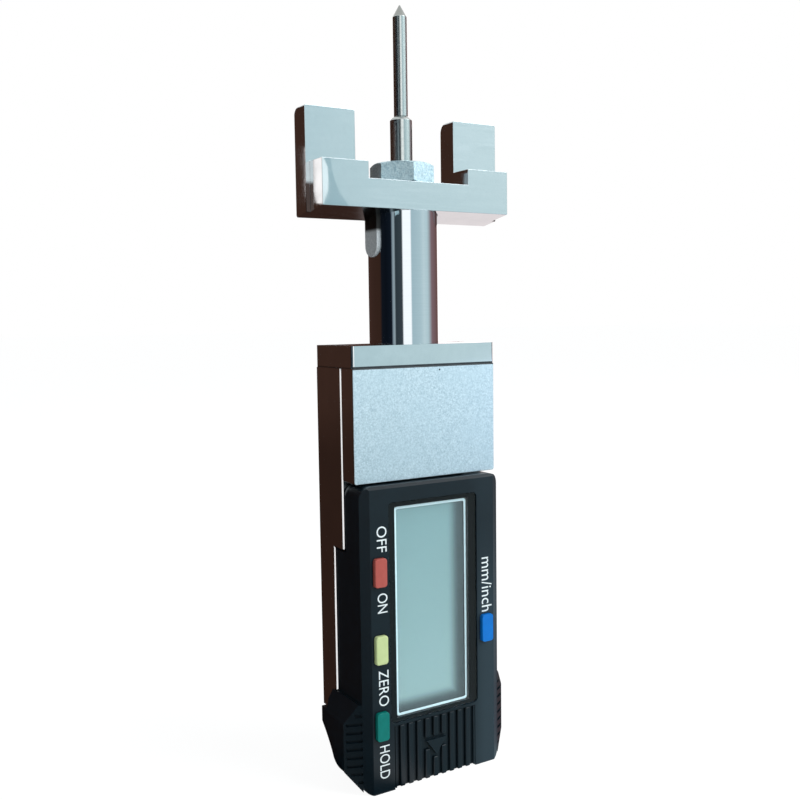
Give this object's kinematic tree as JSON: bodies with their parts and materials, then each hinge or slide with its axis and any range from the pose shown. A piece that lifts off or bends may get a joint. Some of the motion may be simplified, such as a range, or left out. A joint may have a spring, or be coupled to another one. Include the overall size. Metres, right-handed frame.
{
  "type": "needle depth gauge",
  "caption": "Hand-held needle depth gauge for concrete: stepped bridge foot on a round stem, pointed needle between its posts, and a sliding readout with display, buttons and battery cover.",
  "frame": {"origin": "on the needle axis, in the flat bottom of the readout's closed lower end", "axes": "+Z along the needle towards its point, -Y out of the display, +X to the right for someone who reads the display"},
  "size_m": [0.038, 0.0154, 0.132],
  "materials": {
    "polished_steel": "polished",
    "stem_steel": "polished",
    "rough_steel": "rough",
    "blasted_aluminium": "sandblasted",
    "needle_steel": "satin",
    "screw_steel": "satin",
    "bush_brass": "satin",
    "carriage_metal": "satin",
    "black_plastic": "matte",
    "window": "clear",
    "frame_line": "matte",
    "display": "gloss",
    "contact_rubber": "matte",
    "board": "matte",
    "contact_metal": "satin",
    "cell_steel": "satin",
    "red_plastic": "satin",
    "yellow_plastic": "satin",
    "green_plastic": "satin",
    "blue_plastic": "satin"
  },
  "bodies": {
    "frame": {"bridge_foot": "polished_steel", "bridge_nut": "polished_steel", "stem_key": "rough_steel", "stem_tube": "stem_steel", "guide_bush": "bush_brass", "cap_plate": "polished_steel", "cap_screws": "screw_steel", "front_plate": "blasted_aluminium", "plate_screws": "screw_steel", "rear_housing": "polished_steel", "stop_pin": "screw_steel", "scale_strip": "board"},
    "readout": {"needle": "needle_steel", "spindle": "needle_steel", "carriage": "carriage_metal", "gib_strip": "bush_brass", "sensor_board": "board", "carriage_screws": "screw_steel", "readout_case": "black_plastic", "readout_back": "black_plastic", "case_screws": "screw_steel", "window_lens": "window", "lcd_frame": "frame_line", "lcd_panel": "display", "lcd_connectors": "contact_rubber", "circuit_board": "board", "switch_domes": "contact_metal", "coin_cell": "cell_steel", "positive_contact": "contact_metal", "negative_contact": "contact_metal"},
    "power_button": {"power_button": "red_plastic"},
    "zero_button": {"zero_button": "yellow_plastic"},
    "hold_button": {"hold_button": "green_plastic"},
    "unit_button": {"unit_button": "blue_plastic"},
    "battery_cover": {"battery_cover": "black_plastic"}
  },
  "joints": [
    {"name": "readout_slide", "type": "slide", "parent": "frame", "child": "readout", "axis": [0, 0, 1], "range_m": [-0.019, 0]},
    {"name": "power_press", "type": "slide", "parent": "readout", "child": "power_button", "axis": [0, 1, 0], "range_m": [0, 0.0004], "stiffness_N_per_m": 600},
    {"name": "zero_press", "type": "slide", "parent": "readout", "child": "zero_button", "axis": [0, 1, 0], "range_m": [0, 0.0004], "stiffness_N_per_m": 600},
    {"name": "hold_press", "type": "slide", "parent": "readout", "child": "hold_button", "axis": [0, 1, 0], "range_m": [0, 0.0004], "stiffness_N_per_m": 600},
    {"name": "unit_press", "type": "slide", "parent": "readout", "child": "unit_button", "axis": [0, 1, 0], "range_m": [0, 0.0004], "stiffness_N_per_m": 600},
    {"name": "cover_slide", "type": "slide", "parent": "readout", "child": "battery_cover", "axis": [0, 0, -1], "range_m": [0, 0.012]}
  ]
}
